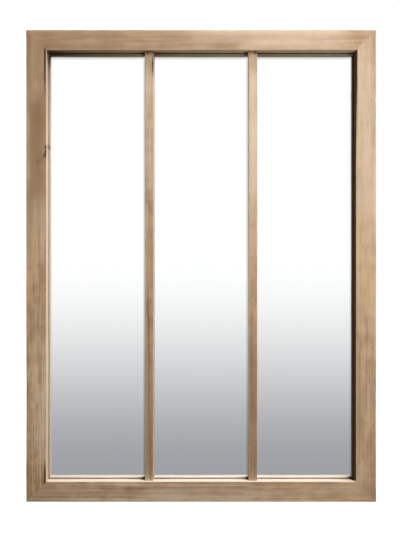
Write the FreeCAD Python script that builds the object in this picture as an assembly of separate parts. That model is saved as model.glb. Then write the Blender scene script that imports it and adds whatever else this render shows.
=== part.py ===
"""Wall mirror framed like a three-light window, as an assembly of separate pieces.

Millimetres, +Z up, +X to the right as seen from the front. The front faces -Y.
The origin is the middle of the flat back: y is 0 on the back face of the frame and of the back panel.
"""

import FreeCAD
import Part

import math
import os

from FreeCAD import Vector

# Overall size of the frame
FRAME_WIDTH = 890.0
FRAME_HEIGHT = 1200.0

# Section of the rails and stiles
FACE_WIDTH = 52.0
SIGHT_DEPTH = 22.0
LEDGE_WIDTH = 12.0
STEP_WIDTH = 12.0
ARRIS_RADIUS = 1.0
BACK_ARRIS = 1.0

# What lies in the rebate, from the ledge to the back
TAPE_THICKNESS = 3.0
GLASS_THICKNESS = 4.0
CUSHION_THICKNESS = 2.0
PANEL_THICKNESS = 3.0

# Room around the sheets, and the glass edge's ground arris
GLASS_GAP = 2.0
PANEL_GAP = 1.0
GLASS_ARRIS = 0.5

# Bedding tape: its edge stands back from the sight line, and from the rebate's wall
TAPE_INSET = 2.5
TAPE_SHOULDER = 1.5

# Glazing bars: section, distance apart, and how far their face lies behind the frame's face
MULLION_WIDTH = 22.0
MULLION_PITCH = 265.0
MULLION_SETBACK = 6.0
MULLION_ARRIS = 1.0

# Stub tenons on the glazing bars
TENON_CHEEK = 4.0
TENON_SHOULDER = 2.5
TENON_LENGTH = 10.0
MORTISE_CLEARANCE = 0.2
MORTISE_END_ROOM = 0.8

# Setting blocks that carry the glass
BLOCK_LENGTH = 40.0
BLOCK_INSET = 190.0

# Biscuits across the mitres
BISCUIT_LENGTH = 52.0
BISCUIT_WIDTH = 22.0
BISCUIT_END = 7.0
BISCUIT_THICKNESS = 4.0
BISCUIT_CLEARANCE = 0.15

# Angle nails driven across the mitres from the back
NAIL_WING = 6.0
NAIL_SHEET = 0.9
NAIL_DEPTH = 10.0
NAIL_FROM_CORNER = 6.0
NAIL_SPACING = 9.0
NAIL_CLEARANCE = 0.05

# Countersunk screws that hold the back panel
PANEL_SCREW_DIAMETER = 3.0
PANEL_SCREW_HEAD = 6.0
PANEL_SCREW_LENGTH = 16.0
PANEL_SCREW_PITCH = 260.0
PANEL_SCREW_FROM_CORNER = 45.0
SCREW_CLEARANCE = 0.1
SCREW_POINT_SHARE = 0.2

# Hangers: a strap rolled into an eye that holds a D-shaped wire ring
HANGER_DROP = 200.0
STRAP_WIDTH = 12.0
STRAP_SHEET = 1.5
STRAP_CORNER = 4.0
EYE_GAP_ANGLE = 65.0
RING_WIRE = 2.5
RING_PLAY = 0.1
RING_CORNER = 2.5
RING_SIDE_PLAY = 0.5
HANGER_SCREW_DIAMETER = 4.0
HANGER_SCREW_HEAD = 7.0
HANGER_SCREW_HEAD_HEIGHT = 2.2
HANGER_SCREW_RIM = 0.8
HANGER_SCREW_LENGTH = 20.0
HANGER_SCREW_SPACING = 13.0
HANGER_SCREW_MARGIN = 2.5

# Rubber bumpers that keep the back off the wall
BUMPER_DIAMETER = 14.0
BUMPER_TIP = 11.0
BUMPER_HEIGHT = 6.5
BUMPER_ROUND = 1.2
BUMPER_FROM_END = 70.0

# How far every cutting tool runs past the face it opens
OVERRUN = 1.0

# Values that follow from the sizes above
FRAME_DEPTH = SIGHT_DEPTH + TAPE_THICKNESS + GLASS_THICKNESS + CUSHION_THICKNESS + PANEL_THICKNESS
FRONT_Y = -FRAME_DEPTH
LEDGE_Y = FRONT_Y + SIGHT_DEPTH
GLASS_FRONT_Y = LEDGE_Y + TAPE_THICKNESS
GLASS_BACK_Y = GLASS_FRONT_Y + GLASS_THICKNESS
STEP_Y = -PANEL_THICKNESS
OPENING_WIDTH = FRAME_WIDTH - 2 * FACE_WIDTH
OPENING_HEIGHT = FRAME_HEIGHT - 2 * FACE_WIDTH
BACK_BAND = FACE_WIDTH - LEDGE_WIDTH - STEP_WIDTH
TAPE_WIDTH = LEDGE_WIDTH - TAPE_INSET - TAPE_SHOULDER
TAPE_HALF_X = OPENING_WIDTH / 2 + TAPE_INSET + TAPE_WIDTH
TAPE_HALF_Z = OPENING_HEIGHT / 2 + TAPE_INSET + TAPE_WIDTH
GLASS_HALF_X = OPENING_WIDTH / 2 + LEDGE_WIDTH - GLASS_GAP
GLASS_HALF_Z = OPENING_HEIGHT / 2 + LEDGE_WIDTH - GLASS_GAP
PANEL_HALF_X = OPENING_WIDTH / 2 + LEDGE_WIDTH + STEP_WIDTH - PANEL_GAP
PANEL_HALF_Z = OPENING_HEIGHT / 2 + LEDGE_WIDTH + STEP_WIDTH - PANEL_GAP
EYE_BORE_RADIUS = RING_WIRE / 2 + RING_PLAY
EYE_RADIUS = EYE_BORE_RADIUS + STRAP_SHEET
RING_BAR_HALF = STRAP_WIDTH / 2 + RING_SIDE_PLAY
RING_BOW_RADIUS = RING_BAR_HALF + RING_CORNER
RING_REACH = RING_CORNER + RING_BOW_RADIUS + RING_WIRE / 2
HANGER_X = FRAME_WIDTH / 2 - BACK_BAND / 2
HANGER_Z = FRAME_HEIGHT / 2 - HANGER_DROP
FIRST_SCREW_DROP = RING_REACH + HANGER_SCREW_HEAD / 2 + HANGER_SCREW_MARGIN
HANGER_SCREW_DROPS = (FIRST_SCREW_DROP, FIRST_SCREW_DROP + HANGER_SCREW_SPACING)
STRAP_DROP = HANGER_SCREW_DROPS[-1] + HANGER_SCREW_HEAD / 2 + HANGER_SCREW_MARGIN

SIDES = {"left": -1, "right": 1}
ENDS = {"bottom": -1, "top": 1}
CORNERS = [(side, end) for side in SIDES.values() for end in ENDS.values()]

X_AXIS = Vector(1, 0, 0)
Y_AXIS = Vector(0, 1, 0)
Z_AXIS = Vector(0, 0, 1)
ORIGIN = Vector(0, 0, 0)
FULL_TURN = 360


def slab(x_range, y_range, z_range):
    """A box given by its limits along X, Y and Z."""
    lows, sizes = zip(*((low, high - low) for low, high in (x_range, y_range, z_range)))
    return Part.makeBox(*sizes, Vector(*lows))


def extruded(points, direction):
    """A prism: the polygon through the points, carried along the direction."""
    outline = Part.makePolygon(points + points[:1])
    return Part.Face(outline).extrude(direction)


def arc(start, middle, end):
    """The edge of a circular arc through three points."""
    return Part.Arc(start, middle, end).toShape()


def line(start, end):
    """A straight edge."""
    return Part.LineSegment(start, end).toShape()


def cut_all(shape, tools):
    """The shape less every tool."""
    tools = list(tools)
    return shape.cut(tools) if tools else shape


def member_section():
    """The rail's section in the plane x = 0: outer edge at z = 0, inner edge at z = -FACE_WIDTH.

    The two front edges are rounded, and the back is stepped twice, for the glass and for the back panel.
    """
    inner, round_by = -FACE_WIDTH, ARRIS_RADIUS
    corner = round_by * (1 - math.sqrt(0.5))
    wall, step = inner + LEDGE_WIDTH, inner + LEDGE_WIDTH + STEP_WIDTH
    outer_arc = [(FRONT_Y + round_by, 0), (FRONT_Y + corner, -corner), (FRONT_Y, -round_by)]
    inner_arc = [(FRONT_Y, inner + round_by), (FRONT_Y + corner, inner + corner), (FRONT_Y + round_by, inner)]
    rest = [(LEDGE_Y, inner), (LEDGE_Y, wall), (STEP_Y, wall), (STEP_Y, step), (0, step), (0, -BACK_ARRIS)]
    outer_arc, inner_arc, rest = ([Vector(0, y, z) for y, z in run] for run in (outer_arc, inner_arc, rest))
    last = Vector(0, -BACK_ARRIS, 0)
    straight = [inner_arc[-1], *rest, last, outer_arc[0]]
    edges = [arc(*outer_arc), line(outer_arc[-1], inner_arc[0]), arc(*inner_arc)]
    edges += [line(start, end) for start, end in zip(straight, straight[1:])]
    return Part.Face(Part.Wire(edges))


def mitred_member(length):
    """A member along X, mitred at both ends, with its outer edge at z = 0."""
    bar = member_section().extrude(X_AXIS * length)
    bar.translate(X_AXIS * (-length / 2))
    reach, depth = length / 2 + OVERRUN, FACE_WIDTH + OVERRUN
    short = length / 2 - depth
    outline = [(-reach, OVERRUN), (reach, OVERRUN), (short, -depth), (-short, -depth)]
    front = FRONT_Y - OVERRUN
    keep = extruded([Vector(x, front, z) for x, z in outline], Y_AXIS * (FRAME_DEPTH + 2 * OVERRUN))
    return bar.common(keep)


def placed_member(length, turn, outward):
    """A mitred member turned about Y, with its outer edge carried out by a distance."""
    member = mitred_member(length)
    member.translate(Vector(0, 0, outward))
    member.rotate(ORIGIN, Y_AXIS, turn)
    return member


def biscuit(side, end, clearance=0.0):
    """A flat lens with cut-off tips, lying across one mitre in mid-depth of the face."""
    half_length = BISCUIT_LENGTH / 2 + clearance
    half_width = BISCUIT_WIDTH / 2 + clearance
    half_end = BISCUIT_END / 2 + clearance
    thickness = BISCUIT_THICKNESS + 2 * clearance
    upper = [(-half_length, half_end), (0, half_width), (half_length, half_end)]
    upper, lower = ([Vector(x, 0, sign * z) for x, z in upper] for sign in (1, -1))
    tips = [line(upper[2], lower[2]), line(upper[0], lower[0])]
    wire = Part.Wire(Part.__sortEdges__([arc(*upper), arc(*lower), *tips]))
    lens = Part.Face(wire).extrude(Y_AXIS * thickness)
    lens.rotate(ORIGIN, Y_AXIS, -side * end * FULL_TURN / 8)
    middle_y = FRONT_Y + SIGHT_DEPTH / 2
    centre_x, centre_z = (FRAME_WIDTH - FACE_WIDTH) / 2, (FRAME_HEIGHT - FACE_WIDTH) / 2
    lens.translate(Vector(side * centre_x, middle_y - thickness / 2, end * centre_z))
    return lens


def angle_nail(side, end, from_corner, clearance=0.0):
    """A folded sheet nail: one wing in the rail and one in the stile, flush with the back."""
    near, far, thick = -clearance, NAIL_WING + clearance, NAIL_SHEET + clearance
    outline = [(near, near), (far, near), (far, thick), (thick, thick), (thick, far), (near, far)]
    reach_x, reach_z = FRAME_WIDTH / 2 - from_corner, FRAME_HEIGHT / 2 - from_corner
    points = [Vector(side * (reach_x - a), -NAIL_DEPTH - clearance, end * (reach_z - b)) for a, b in outline]
    return extruded(points, Y_AXIS * (NAIL_DEPTH + clearance))


def angle_nails(clearance=0.0):
    """Two nails at every corner."""
    places = (NAIL_FROM_CORNER, NAIL_FROM_CORNER + NAIL_SPACING)
    return [angle_nail(*corner, place, clearance) for corner in CORNERS for place in places]


def turned(profile):
    """A solid of revolution about Y: the profile holds (radius, y) points, from axis to axis."""
    points = [Vector(radius, y, 0) for radius, y in profile]
    return Part.Face(Part.makePolygon(points + points[:1])).revolve(ORIGIN, Y_AXIS, FULL_TURN)


def countersunk_screw():
    """A back panel screw at the origin, its flat head flush at y = 0 and its point towards -Y."""
    shank, head = PANEL_SCREW_DIAMETER / 2, PANEL_SCREW_HEAD / 2
    point = PANEL_SCREW_LENGTH * (1 - SCREW_POINT_SHARE)
    return turned([(0, 0), (head, 0), (shank, shank - head), (shank, -point), (0, -PANEL_SCREW_LENGTH)])


def countersunk_hole():
    """The hole for a back panel screw, larger all round by the clearance."""
    shank, head = PANEL_SCREW_DIAMETER / 2 + SCREW_CLEARANCE, PANEL_SCREW_HEAD / 2 + SCREW_CLEARANCE
    depth = PANEL_SCREW_LENGTH + SCREW_CLEARANCE
    top = [(0, OVERRUN), (head, OVERRUN), (head, 0)]
    return turned([*top, (shank, shank - head), (shank, -depth), (0, -depth)])


def pan_head_screw():
    """A hanger screw with the underside of its domed head at y = 0 and its point towards -Y."""
    shank, head, height = HANGER_SCREW_DIAMETER / 2, HANGER_SCREW_HEAD / 2, HANGER_SCREW_HEAD_HEIGHT
    point = HANGER_SCREW_LENGTH * (1 - SCREW_POINT_SHARE)
    rise = height - HANGER_SCREW_RIM
    dome_radius = (head**2 + rise**2) / (2 * rise)
    halfway = height - dome_radius + math.sqrt(dome_radius**2 - (head / 2) ** 2)
    dome = [(0, height), (head / 2, halfway), (head, HANGER_SCREW_RIM)]
    rest = [(head, 0), (shank, 0), (shank, -point), (0, -HANGER_SCREW_LENGTH)]
    dome, rest = ([Vector(radius, y, 0) for radius, y in run] for run in (dome, rest))
    straight = [dome[-1], *rest, dome[0]]
    edges = [arc(*dome)] + [line(start, end) for start, end in zip(straight, straight[1:])]
    return Part.Face(Part.Wire(edges)).revolve(ORIGIN, Y_AXIS, FULL_TURN)


def spread(half_length, pitch):
    """Evenly spaced places from -half_length to half_length, no further apart than the pitch."""
    count = math.ceil(2 * half_length / pitch)
    return [half_length * (2 * index / count - 1) for index in range(count + 1)]


def panel_screw_places():
    """Places of the back panel screws, in the middle of the step all round."""
    x_edge = OPENING_WIDTH / 2 + LEDGE_WIDTH + STEP_WIDTH / 2
    z_edge = OPENING_HEIGHT / 2 + LEDGE_WIDTH + STEP_WIDTH / 2
    x_run, z_run = (spread(edge - PANEL_SCREW_FROM_CORNER, PANEL_SCREW_PITCH) for edge in (x_edge, z_edge))
    rows = [(x, sign * z_edge) for x in x_run for sign in (-1, 1)]
    columns = [(sign * x_edge, z) for z in z_run for sign in (-1, 1)]
    return [Vector(x, 0, z) for x, z in rows + columns]


def hanger_screw_places():
    """Places of the hanger screws on the back of the stiles."""
    heights = [HANGER_Z - drop for drop in HANGER_SCREW_DROPS]
    return [Vector(side * HANGER_X, 0, height) for side in SIDES.values() for height in heights]


def moved(shape, offset):
    """A copy of the shape, carried by the offset."""
    copy = shape.copy()
    copy.translate(offset)
    return copy


def mullion_x(side):
    """The middle of one glazing bar."""
    return side * MULLION_PITCH / 2


def tenon(side, end, clearance=0.0, end_room=0.0):
    """The stub tenon of one glazing bar in one rail, or its mortise when clearances are given."""
    half = MULLION_WIDTH / 2 - TENON_CHEEK + clearance
    front = FRONT_Y + MULLION_SETBACK + TENON_SHOULDER - clearance
    back = LEDGE_Y - TENON_SHOULDER + clearance
    near, far = OPENING_HEIGHT / 2, OPENING_HEIGHT / 2 + TENON_LENGTH + end_room
    limits = sorted((end * near, end * far))
    x = mullion_x(side)
    return slab((x - half, x + half), (front, back), limits)


def mullion(side):
    """A glazing bar: rounded front edges, a flat back in the plane of the ledge, and a tenon at each end."""
    half_x, half_z, x = MULLION_WIDTH / 2, OPENING_HEIGHT / 2, mullion_x(side)
    front = FRONT_Y + MULLION_SETBACK
    bar = slab((x - half_x, x + half_x), (front, LEDGE_Y), (-half_z, half_z))
    upright = [edge for edge in bar.Edges if abs(edge.CenterOfMass.z) < half_z / 2 and in_plane(edge, front)]
    bar = bar.makeFillet(MULLION_ARRIS, upright)
    return bar.fuse([tenon(side, end) for end in ENDS.values()]).removeSplitter()


def frame_members():
    """The two rails and two stiles, with every slot, mortise and pilot hole."""
    blanks = {
        "top_rail": placed_member(FRAME_WIDTH, 0, FRAME_HEIGHT / 2),
        "bottom_rail": placed_member(FRAME_WIDTH, FULL_TURN / 2, FRAME_HEIGHT / 2),
        "left_stile": placed_member(FRAME_HEIGHT, -FULL_TURN / 4, FRAME_WIDTH / 2),
        "right_stile": placed_member(FRAME_HEIGHT, FULL_TURN / 4, FRAME_WIDTH / 2),
    }
    pilot_radius = HANGER_SCREW_DIAMETER / 2 + SCREW_CLEARANCE
    pilot_depth = HANGER_SCREW_LENGTH - STRAP_SHEET + SCREW_CLEARANCE
    pilot = Part.makeCylinder(pilot_radius, pilot_depth + OVERRUN, Vector(0, -pilot_depth, 0), Y_AXIS)
    tools = [biscuit(*corner, BISCUIT_CLEARANCE) for corner in CORNERS]
    tools += angle_nails(NAIL_CLEARANCE)
    tools += [tenon(side, end, MORTISE_CLEARANCE, MORTISE_END_ROOM) for side, end in CORNERS]
    tools += [moved(countersunk_hole(), place) for place in panel_screw_places()]
    tools += [moved(pilot, place) for place in hanger_screw_places()]
    return {name: cut_all(blank, near(blank, tools)) for name, blank in blanks.items()}


def near(blank, tools):
    """The tools whose boxes meet the blank's box."""
    return [tool for tool in tools if blank.BoundBox.intersect(tool.BoundBox)]


def bedding_tapes():
    """Strips on the ledge all round, butted at the corners, and one behind each glazing bar."""
    depth = (LEDGE_Y, GLASS_FRONT_Y)
    inner_x, inner_z = TAPE_HALF_X - TAPE_WIDTH, TAPE_HALF_Z - TAPE_WIDTH
    tapes = {}
    for name, end in ENDS.items():
        limits = sorted((end * inner_z, end * TAPE_HALF_Z))
        tapes["bedding_tape_" + name] = slab((-TAPE_HALF_X, TAPE_HALF_X), depth, limits)
    half = MULLION_WIDTH / 2 - TAPE_INSET
    for name, side in SIDES.items():
        limits = sorted((side * inner_x, side * TAPE_HALF_X))
        tapes["bedding_tape_" + name] = slab(limits, depth, (-inner_z, inner_z))
        x = mullion_x(side)
        tapes["mullion_tape_" + name] = slab((x - half, x + half), depth, (-inner_z, inner_z))
    return tapes


def mirror_glass():
    """One silvered sheet behind the whole opening, its edges ground to a small arris."""
    sheet = slab((-GLASS_HALF_X, GLASS_HALF_X), (GLASS_FRONT_Y, GLASS_BACK_Y), (-GLASS_HALF_Z, GLASS_HALF_Z))
    rim = [edge for face in (GLASS_FRONT_Y, GLASS_BACK_Y) for edge in sheet.Edges if in_plane(edge, face)]
    return sheet.makeChamfer(GLASS_ARRIS, rim)


def in_plane(edge, y):
    """Whether a straight edge lies in the plane of that y."""
    return all(abs(vertex.Y - y) < Part.Precision.confusion() for vertex in edge.Vertexes)


def setting_block(side):
    """A small block in the gap under the glass, which carries its weight."""
    x = side * (OPENING_WIDTH / 2 - BLOCK_INSET)
    limits = (-GLASS_HALF_Z - GLASS_GAP, -GLASS_HALF_Z)
    return slab((x - BLOCK_LENGTH / 2, x + BLOCK_LENGTH / 2), (GLASS_FRONT_Y, GLASS_BACK_Y), limits)


def cushion_sheet():
    """Foam between the glass and the back panel."""
    return slab((-GLASS_HALF_X, GLASS_HALF_X), (GLASS_BACK_Y, STEP_Y), (-GLASS_HALF_Z, GLASS_HALF_Z))


def back_panel():
    """The hardboard back, let into the step flush with the frame, with countersunk holes."""
    sheet = slab((-PANEL_HALF_X, PANEL_HALF_X), (STEP_Y, 0), (-PANEL_HALF_Z, PANEL_HALF_Z))
    return cut_all(sheet, [moved(countersunk_hole(), place) for place in panel_screw_places()])


def strap_section():
    """The strap's section in the plane x = 0: a flat leaf below, rolled into an eye about (EYE_RADIUS, 0)."""

    def around(radius, angle):
        turn = math.radians(angle)
        return Vector(0, EYE_RADIUS + radius * math.cos(turn), radius * math.sin(turn))

    leaf_angle, lip_angle = FULL_TURN / 2, EYE_GAP_ANGLE - FULL_TURN / 2
    middle_angle = (leaf_angle + lip_angle) / 2
    outer = [around(EYE_RADIUS, angle) for angle in (leaf_angle, middle_angle, lip_angle)]
    inner = [around(EYE_BORE_RADIUS, angle) for angle in (lip_angle, middle_angle, leaf_angle)]
    foot = [Vector(0, STRAP_SHEET, -STRAP_DROP), Vector(0, 0, -STRAP_DROP)]
    edges = [arc(*outer), line(outer[2], inner[0]), arc(*inner), line(inner[2], foot[0])]
    edges += [line(*foot), line(foot[1], outer[0])]
    return Part.Face(Part.Wire(edges))


def hanger_strap(side):
    """A strap with a rolled eye at its top, rounded lower corners and two screw holes."""
    strap = strap_section().extrude(X_AXIS * STRAP_WIDTH)
    strap.translate(X_AXIS * (-STRAP_WIDTH / 2))
    low = [edge for edge in strap.Edges if all(abs(v.Z + STRAP_DROP) < OVERRUN for v in edge.Vertexes)]
    feet = [edge for edge in low if edge.Length < STRAP_WIDTH / 2 and not in_plane(edge, edge.CenterOfMass.y)]
    strap = strap.makeFillet(STRAP_CORNER, feet)
    strap.translate(Vector(side * HANGER_X, 0, HANGER_Z))
    radius = HANGER_SCREW_DIAMETER / 2 + SCREW_CLEARANCE
    drill = Part.makeCylinder(radius, STRAP_SHEET + 2 * OVERRUN, Vector(0, -OVERRUN, 0), Y_AXIS)
    return cut_all(strap, [moved(drill, place) for place in hanger_screw_places()])


def hanger_ring(side):
    """A D-shaped ring of round wire: a straight bar through the eye, two corners and a hanging bow."""
    radius = RING_WIRE / 2
    bar = Part.makeCylinder(radius, 2 * RING_BAR_HALF, Vector(-RING_BAR_HALF, 0, 0), X_AXIS)
    ring = [bar]
    for turn in (-1, 1):
        wire = Part.Face(Part.Wire(Part.makeCircle(radius, Vector(turn * RING_BAR_HALF, 0, 0), X_AXIS)))
        ring.append(wire.revolve(Vector(turn * RING_BAR_HALF, 0, -RING_CORNER), Y_AXIS, turn * FULL_TURN / 4))
    start = Vector(RING_BOW_RADIUS, 0, -RING_CORNER)
    wire = Part.Face(Part.Wire(Part.makeCircle(radius, start, Z_AXIS)))
    ring.append(wire.revolve(Vector(0, 0, -RING_CORNER), Y_AXIS, FULL_TURN / 2))
    whole = ring[0].fuse(ring[1:]).removeSplitter()
    whole.translate(Vector(side * HANGER_X, EYE_RADIUS, HANGER_Z))
    return whole


def bumper(side, end):
    """A rubber bumper: a tapered button with a rounded rim and a flat tip, stuck on the back of a stile."""
    base, tip, height = BUMPER_DIAMETER / 2, BUMPER_TIP / 2, BUMPER_HEIGHT
    button = turned([(0, 0), (base, 0), (tip, height), (0, height)])
    round_edges = [edge for edge in button.Edges if edge.Curve.TypeId == "Part::GeomCircle"]
    rim = [edge for edge in round_edges if in_plane(edge, height)]
    button = button.makeFillet(BUMPER_ROUND, rim)
    return moved(button, Vector(side * HANGER_X, 0, end * (FRAME_HEIGHT / 2 - BUMPER_FROM_END)))


def hanger_screws():
    """The screws of both hangers, their heads on the straps."""
    screw = moved(pan_head_screw(), Y_AXIS * STRAP_SHEET)
    return Part.makeCompound([moved(screw, place) for place in hanger_screw_places()])


def all_parts():
    """Every node of the assembly by its name."""
    parts = frame_members()
    parts.update(bedding_tapes())
    parts["mirror_glass"] = mirror_glass()
    parts["cushion_sheet"] = cushion_sheet()
    parts["back_panel"] = back_panel()
    screws = [moved(countersunk_screw(), place) for place in panel_screw_places()]
    parts["back_panel_screws"] = Part.makeCompound(screws)
    parts["mitre_biscuits"] = Part.makeCompound([biscuit(*corner) for corner in CORNERS])
    parts["corner_angle_nails"] = Part.makeCompound(angle_nails())
    parts["hanger_screws"] = hanger_screws()
    for name, side in SIDES.items():
        parts["mullion_" + name] = mullion(side)
        parts["setting_block_" + name] = setting_block(side)
        parts["hanger_strap_" + name] = hanger_strap(side)
        parts["hanger_ring_" + name] = hanger_ring(side)
        for end_name, end in ENDS.items():
            parts[f"bumper_{end_name}_{name}"] = bumper(side, end)
    return parts


def main():
    """Write one STEP file for each node."""
    os.makedirs("parts", exist_ok=True)
    for name, shape in all_parts().items():
        shape.exportStep(os.path.join("parts", name + ".step"))


if __name__ == "__main__":
    main()
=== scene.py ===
import math

import bpy
import numpy as np
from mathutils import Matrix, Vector


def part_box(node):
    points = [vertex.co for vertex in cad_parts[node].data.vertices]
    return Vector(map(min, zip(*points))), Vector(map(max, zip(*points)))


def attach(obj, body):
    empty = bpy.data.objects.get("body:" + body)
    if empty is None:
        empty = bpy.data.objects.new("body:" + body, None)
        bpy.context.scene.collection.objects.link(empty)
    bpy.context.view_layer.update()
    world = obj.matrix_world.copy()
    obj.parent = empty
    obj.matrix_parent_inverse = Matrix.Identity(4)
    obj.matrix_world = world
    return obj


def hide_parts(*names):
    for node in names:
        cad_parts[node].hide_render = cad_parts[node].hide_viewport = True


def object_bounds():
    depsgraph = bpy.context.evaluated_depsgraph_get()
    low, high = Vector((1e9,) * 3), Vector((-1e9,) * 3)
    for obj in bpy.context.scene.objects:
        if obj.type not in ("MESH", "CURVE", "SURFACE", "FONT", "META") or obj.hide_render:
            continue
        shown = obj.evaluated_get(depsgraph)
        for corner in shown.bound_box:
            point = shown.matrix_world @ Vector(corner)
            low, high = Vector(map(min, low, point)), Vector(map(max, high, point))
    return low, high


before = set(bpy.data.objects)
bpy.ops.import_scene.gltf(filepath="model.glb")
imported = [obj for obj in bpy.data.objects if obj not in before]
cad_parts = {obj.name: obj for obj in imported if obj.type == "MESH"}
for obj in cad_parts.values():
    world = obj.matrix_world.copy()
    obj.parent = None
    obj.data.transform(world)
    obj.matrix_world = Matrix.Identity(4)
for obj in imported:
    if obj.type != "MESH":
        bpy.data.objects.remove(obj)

bl_info = {
    "name": "Window mirror",
    "version": (1, 0, 0),
    "blender": (4, 5, 0),
    "location": "View3D > Sidebar > Window mirror",
    "description": "Dresses the packed window mirror: worn pine members, glass, back, hangers and a studio stage",
    "category": "Object",
}

CAD_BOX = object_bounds()
BODY = "mirror_frame"
LOW, HIGH = (np.array(corner) for corner in CAD_BOX)
RAIL_LOW, RAIL_HIGH = (np.array(corner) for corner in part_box("top_rail"))
BAR_LOW, BAR_HIGH = (np.array(corner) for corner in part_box("mullion_right"))
PANEL_LOW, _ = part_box("back_panel")
WIDTH, HEIGHT, FACE = HIGH[0] - LOW[0], HIGH[2] - LOW[2], RAIL_HIGH[2] - RAIL_LOW[2]
FRONT, BACK, LEDGE, STEP = RAIL_LOW[1], RAIL_HIGH[1], BAR_HIGH[1], PANEL_LOW[1]
OPENING = WIDTH / 2 - FACE, HEIGHT / 2 - FACE
BAR_MIDDLE, BAR_HALF = (BAR_LOW[0] + BAR_HIGH[0]) / 2, (BAR_HIGH[0] - BAR_LOW[0]) / 2
MM = 0.001
SEED = 7

# Mesh: points on a rounded corner, spacing of the points round a profile and along a member, the last stations of a
# member before its mitre, stations of a bar, sides of a screw, and the floor's sides, radius and gap under the part.
ARC_POINTS = 7
MEMBER_PITCH, BAR_PITCH, STATION_PITCH = 2.2 * MM, 1.6 * MM, 8 * MM
MITRE_ROOM, MITRE_STEPS = 6 * MM, np.array((4, 2.4, 1.2, 0.5, 0)) * MM
BAR_STATIONS = 241
SCREW_SIDES, FLOOR_SIDES, FLOOR_RADIUS, FLOOR_GAP = 48, 96, 12.0, 0.5 * MM
# Screws of the back panel: how many in a row across and up, and how far the end ones stand back from the next row.
PANEL_SCREWS, PANEL_SCREW_END = (4, 6), 45 * MM
# Wood: how far its flat back stays inside the CAD box, the rounding of the edges at the back, the ledge and the step,
# and a margin that keeps a test clear of an edge.
BACK_EASE, BACK_EDGE, LEDGE_EDGE, STEP_EDGE, MARGIN = 0.2 * MM, 1 * MM, 0.3 * MM, 0.4 * MM, 1 * MM
# Depth of the unevenness of a planed face and of a knot, sway of a streak, the length over which it fades, and the
# width below which it is ragged.
PLANED, KNOT_DEPTH = 0.2 * MM, 0.8 * MM
STREAK_SWAY, STREAK_FADE, STREAK_NARROW = 1.2 * MM, 20 * MM, 8 * MM
# A surface is an inner wall where its normal leans this far towards the opening.
WALL_LEAN = 0.6


class FrameSizes(bpy.types.PropertyGroup):
    """Sizes of the dressed wood that the CAD boxes do not give."""

    ledge: bpy.props.FloatProperty(
        name="Ledge", description="Width of the ledge behind the face", default=12 * MM, unit="LENGTH")
    step: bpy.props.FloatProperty(
        name="Step", description="Width of the step that takes the back panel", default=12 * MM, unit="LENGTH")
    arris: bpy.props.FloatProperty(
        name="Arris", description="Rounding of the front edges of the frame", default=1.0 * MM, unit="LENGTH")
    bar_arris: bpy.props.FloatProperty(
        name="Bar arris", description="Rounding of the front edges of the glazing bars",
        default=1.0 * MM, unit="LENGTH")
    tenon: bpy.props.FloatProperty(
        name="Tenon", description="Length of the stub tenons on the glazing bars", default=10 * MM, unit="LENGTH")
    tenon_cheek: bpy.props.FloatProperty(
        name="Tenon cheek", description="How far the tenon stands back at the sides", default=4 * MM, unit="LENGTH")
    tenon_shoulder: bpy.props.FloatProperty(
        name="Tenon shoulder", description="How far the tenon stands back front and rear",
        default=2.5 * MM, unit="LENGTH")
    wear: bpy.props.FloatProperty(
        name="Wear", description="How far the sharp edges are worn down", default=0.35 * MM, unit="LENGTH")
    panel_screw_head: bpy.props.FloatProperty(
        name="Panel screw head", description="Diameter of the countersunk heads", default=6 * MM, unit="LENGTH")
    hanger_screw_head: bpy.props.FloatProperty(
        name="Hanger screw head", description="Diameter of the domed heads", default=7 * MM, unit="LENGTH")
    ring_spacing: bpy.props.FloatProperty(
        name="Ring spacing", description="Distance between two growth rings", default=6.5 * MM, unit="LENGTH")


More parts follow.
